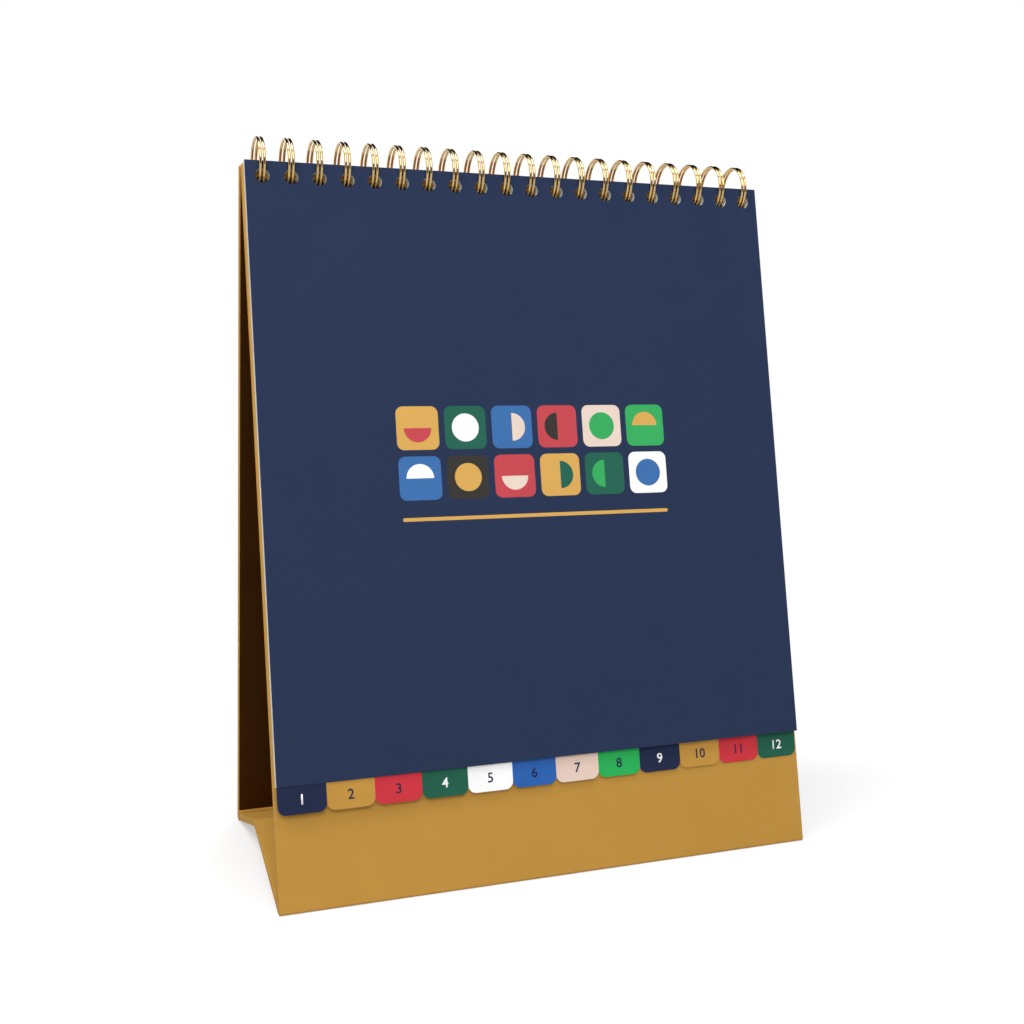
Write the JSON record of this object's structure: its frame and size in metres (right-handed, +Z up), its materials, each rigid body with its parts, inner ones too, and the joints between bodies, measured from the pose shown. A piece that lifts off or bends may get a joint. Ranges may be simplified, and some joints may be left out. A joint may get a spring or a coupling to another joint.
{
  "type": "desk calendar",
  "caption": "Folding easel desk calendar: wrapped-board stand with base flaps, twin-loop wire binding, a cover and tabbed month sheets that turn over the wire.",
  "frame": {"origin": "on the desk, under the middle of the object's width and depth", "axes": "+Z up, +X to the right as the cover is read, +Y from the cover to the back panel"},
  "size_m": [0.172, 0.0736, 0.2184],
  "materials": {
    "grey_board": "pressed grey board",
    "covering_paper": "matte mustard",
    "lining_paper": "matte dark brown",
    "gold_wire": "bright gold",
    "cover_stock": "matte navy",
    "navy_tab_sheet": "matte, printed",
    "gold_tab_sheet": "matte, printed",
    "red_tab_sheet": "matte, printed",
    "pine_tab_sheet": "matte, printed",
    "white_tab_sheet": "matte, printed",
    "blue_tab_sheet": "matte, printed",
    "blush_tab_sheet": "matte, printed",
    "green_tab_sheet": "matte, printed"
  },
  "bodies": {
    "front_panel": {"front_board": "grey_board", "front_wrap": "covering_paper", "front_liner": "lining_paper", "wire_binding": "gold_wire"},
    "back_panel": {"back_board": "grey_board", "back_wrap": "covering_paper", "back_liner": "lining_paper"},
    "front_flap": {"front_flap_board": "grey_board", "front_flap_wrap": "covering_paper", "front_flap_liner": "covering_paper", "front_ridge": "covering_paper"},
    "rear_flap": {"rear_flap_board": "grey_board", "rear_flap_wrap": "covering_paper", "rear_flap_liner": "covering_paper", "rear_ridge": "covering_paper"},
    "cover_page": {"cover_sheet": "cover_stock"},
    "jan_page": {"jan_sheet": "navy_tab_sheet"},
    "feb_page": {"feb_sheet": "gold_tab_sheet"},
    "mar_page": {"mar_sheet": "red_tab_sheet"},
    "apr_page": {"apr_sheet": "pine_tab_sheet"},
    "may_page": {"may_sheet": "white_tab_sheet"},
    "jun_page": {"jun_sheet": "blue_tab_sheet"},
    "jul_page": {"jul_sheet": "blush_tab_sheet"},
    "aug_page": {"aug_sheet": "green_tab_sheet"},
    "sep_page": {"sep_sheet": "navy_tab_sheet"},
    "oct_page": {"oct_sheet": "gold_tab_sheet"},
    "nov_page": {"nov_sheet": "red_tab_sheet"},
    "dec_page": {"dec_sheet": "pine_tab_sheet"}
  },
  "joints": [
    {"name": "stand_fold", "type": "hinge", "parent": "front_panel", "child": "back_panel", "pos_m": [0, 0.02149, 0.21051], "axis": [-1, 0, 0], "range_deg": [0, 13], "deforming": ["front_ridge", "rear_ridge"]},
    {"name": "front_flap_fold", "type": "hinge", "parent": "front_panel", "child": "front_flap", "pos_m": [0, -0.03409, 0.0023], "axis": [1, 0, 0], "range_deg": [0, 50]},
    {"name": "rear_flap_fold", "type": "hinge", "parent": "back_panel", "child": "rear_flap", "pos_m": [0, 0.03461, 0.0023], "axis": [-1, 0, 0], "range_deg": [0, 57]},
    {"name": "dec_turn", "type": "hinge", "parent": "front_panel", "child": "dec_page", "pos_m": [0, 0.02149, 0.21051], "axis": [-1, 0, 0], "range_deg": [0, 240]},
    {"name": "nov_turn", "type": "hinge", "parent": "dec_page", "child": "nov_page", "pos_m": [0, 0.02149, 0.21051], "axis": [-1, 0, 0], "range_deg": [0, 240]},
    {"name": "oct_turn", "type": "hinge", "parent": "nov_page", "child": "oct_page", "pos_m": [0, 0.02149, 0.21051], "axis": [-1, 0, 0], "range_deg": [0, 240]},
    {"name": "sep_turn", "type": "hinge", "parent": "oct_page", "child": "sep_page", "pos_m": [0, 0.02149, 0.21051], "axis": [-1, 0, 0], "range_deg": [0, 240]},
    {"name": "aug_turn", "type": "hinge", "parent": "sep_page", "child": "aug_page", "pos_m": [0, 0.02149, 0.21051], "axis": [-1, 0, 0], "range_deg": [0, 240]},
    {"name": "jul_turn", "type": "hinge", "parent": "aug_page", "child": "jul_page", "pos_m": [0, 0.02149, 0.21051], "axis": [-1, 0, 0], "range_deg": [0, 240]},
    {"name": "jun_turn", "type": "hinge", "parent": "jul_page", "child": "jun_page", "pos_m": [0, 0.02149, 0.21051], "axis": [-1, 0, 0], "range_deg": [0, 240]},
    {"name": "may_turn", "type": "hinge", "parent": "jun_page", "child": "may_page", "pos_m": [0, 0.02149, 0.21051], "axis": [-1, 0, 0], "range_deg": [0, 240]},
    {"name": "apr_turn", "type": "hinge", "parent": "may_page", "child": "apr_page", "pos_m": [0, 0.02149, 0.21051], "axis": [-1, 0, 0], "range_deg": [0, 240]},
    {"name": "mar_turn", "type": "hinge", "parent": "apr_page", "child": "mar_page", "pos_m": [0, 0.02149, 0.21051], "axis": [-1, 0, 0], "range_deg": [0, 240]},
    {"name": "feb_turn", "type": "hinge", "parent": "mar_page", "child": "feb_page", "pos_m": [0, 0.02149, 0.21051], "axis": [-1, 0, 0], "range_deg": [0, 240]},
    {"name": "jan_turn", "type": "hinge", "parent": "feb_page", "child": "jan_page", "pos_m": [0, 0.02149, 0.21051], "axis": [-1, 0, 0], "range_deg": [0, 240]},
    {"name": "cover_turn", "type": "hinge", "parent": "jan_page", "child": "cover_page", "pos_m": [0, 0.02149, 0.21051], "axis": [-1, 0, 0], "range_deg": [0, 240]}
  ],
  "couplings": [
    {"joint": "front_flap_fold", "follows": "stand_fold", "ratio": 3.8085},
    {"joint": "rear_flap_fold", "follows": "stand_fold", "ratio": 4.3632}
  ]
}
